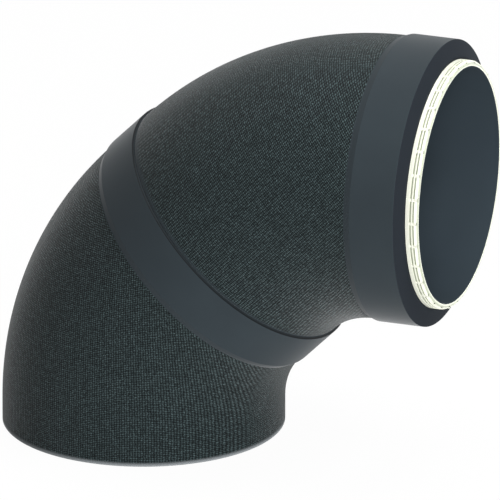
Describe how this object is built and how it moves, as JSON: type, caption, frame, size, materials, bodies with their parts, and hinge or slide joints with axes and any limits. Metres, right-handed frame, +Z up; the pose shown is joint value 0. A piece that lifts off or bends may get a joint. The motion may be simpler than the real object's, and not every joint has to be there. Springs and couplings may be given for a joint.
{
  "type": "insulated duct bend",
  "caption": "Right-angle foam duct bend of plugged-together elbows, with smooth cuffs and a ribbed connector ring in its outlet.",
  "frame": {"origin": "centre of the inlet end, on the plane that its rim stands on", "axes": "+Z up the inlet's axis, +X the way the bend turns and along the outlet's axis, Y square to the plane of the bend"},
  "size_m": [0.3228, 0.1952, 0.2933],
  "materials": {
    "foam": "fine moulded texture on dark grey closed-cell foam, smooth cuffs",
    "ring": "cream moulded plastic"
  },
  "bodies": {
    "root": {"lower_elbow": "foam", "upper_elbow": "foam", "joint_ring": "ring", "outlet_ring": "ring"}
  },
  "joints": []
}
